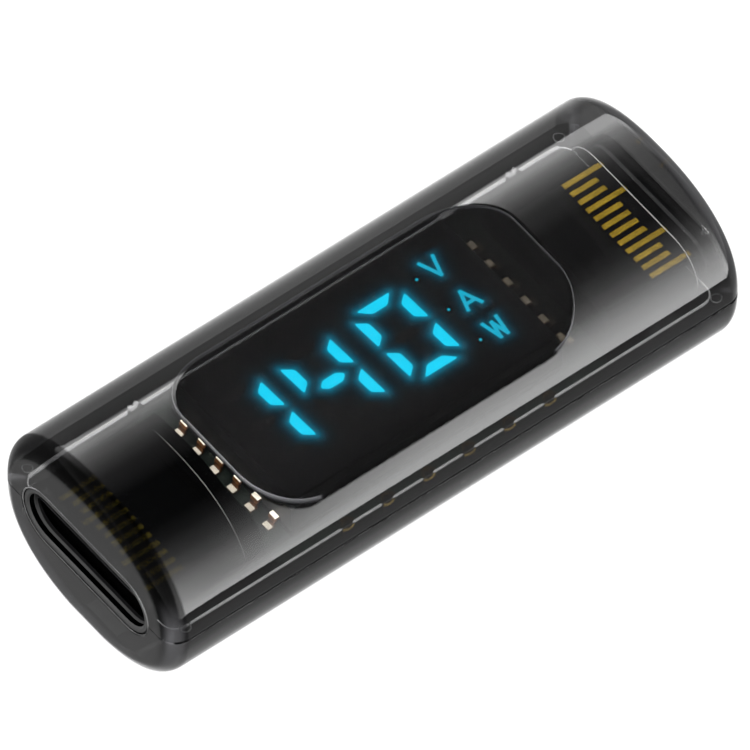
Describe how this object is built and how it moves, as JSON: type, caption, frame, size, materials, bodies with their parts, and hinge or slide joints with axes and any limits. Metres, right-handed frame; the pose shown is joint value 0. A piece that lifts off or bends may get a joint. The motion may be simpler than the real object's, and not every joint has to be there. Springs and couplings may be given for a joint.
{
  "type": "usb power meter",
  "caption": "Inline USB-C power meter: a smoked clear, rounded-oval tube with a port in each end and a lit digit display under a curved black lens.",
  "frame": {"origin": "centre of the case", "axes": "+X runs along the case from the port at the reader's left to the one at the reader's right, +Y runs across it to the top of the digits, +Z points out of the display"},
  "size_m": [0.0322, 0.0124, 0.01],
  "materials": {
    "smoked_shell": "polished smoked clear polycarbonate",
    "smoked_lens": "polished black-tinted acrylic",
    "black_plastic": "fine matte moulding",
    "tongue_plastic": "fine matte moulding, blue-black",
    "mask_black": "matt black",
    "lit_diffuser": "milky diffuser, lit cyan from behind",
    "solder_mask": "semi-gloss black solder mask on glass-epoxy board",
    "tinned_copper": "tinned, cream-bright on top and copper at the bends",
    "contact_gold": "thin gold plating",
    "plate_steel": "stamped stainless steel",
    "chip_epoxy": "moulded epoxy, fine matt",
    "shunt_metal": "brushed resistance alloy",
    "ceramic_tan": "fired ceramic"
  },
  "bodies": {
    "root": {"upper_shell": "smoked_shell", "lower_shell": "smoked_shell", "main_board": "solder_mask", "meter_chip": "chip_epoxy", "shunt_resistor": "shunt_metal", "voltage_regulator": "chip_epoxy", "input_capacitor": "ceramic_tan", "output_capacitor": "ceramic_tan", "display_lens": "smoked_lens", "display_case": "black_plastic", "display_board": "solder_mask", "segment_diffuser": "lit_diffuser", "segment_mask": "mask_black", "display_pin_left_1": "tinned_copper", "display_pin_left_2": "tinned_copper", "display_pin_left_3": "tinned_copper", "display_pin_left_4": "tinned_copper", "display_pin_left_5": "tinned_copper", "display_pin_left_6": "tinned_copper", "display_pin_right_1": "tinned_copper", "display_pin_right_2": "tinned_copper", "display_pin_right_3": "tinned_copper", "display_pin_right_4": "tinned_copper", "display_pin_right_5": "tinned_copper", "display_pin_right_6": "tinned_copper", "port_shroud_left": "smoked_shell", "port_tongue_left": "tongue_plastic", "port_mid_plate_left": "plate_steel", "port_lower_contacts_left": "contact_gold", "port_contact_left_1": "contact_gold", "port_contact_left_2": "contact_gold", "port_contact_left_3": "contact_gold", "port_contact_left_4": "contact_gold", "port_contact_left_5": "contact_gold", "port_contact_left_6": "contact_gold", "port_contact_left_7": "contact_gold", "port_contact_left_8": "contact_gold", "port_contact_left_9": "contact_gold", "port_contact_left_10": "contact_gold", "port_contact_left_11": "contact_gold", "port_contact_left_12": "contact_gold", "port_shroud_right": "smoked_shell", "port_tongue_right": "tongue_plastic", "port_mid_plate_right": "plate_steel", "port_lower_contacts_right": "contact_gold", "port_contact_right_1": "contact_gold", "port_contact_right_2": "contact_gold", "port_contact_right_3": "contact_gold", "port_contact_right_4": "contact_gold", "port_contact_right_5": "contact_gold", "port_contact_right_6": "contact_gold", "port_contact_right_7": "contact_gold", "port_contact_right_8": "contact_gold", "port_contact_right_9": "contact_gold", "port_contact_right_10": "contact_gold", "port_contact_right_11": "contact_gold", "port_contact_right_12": "contact_gold"}
  },
  "joints": []
}
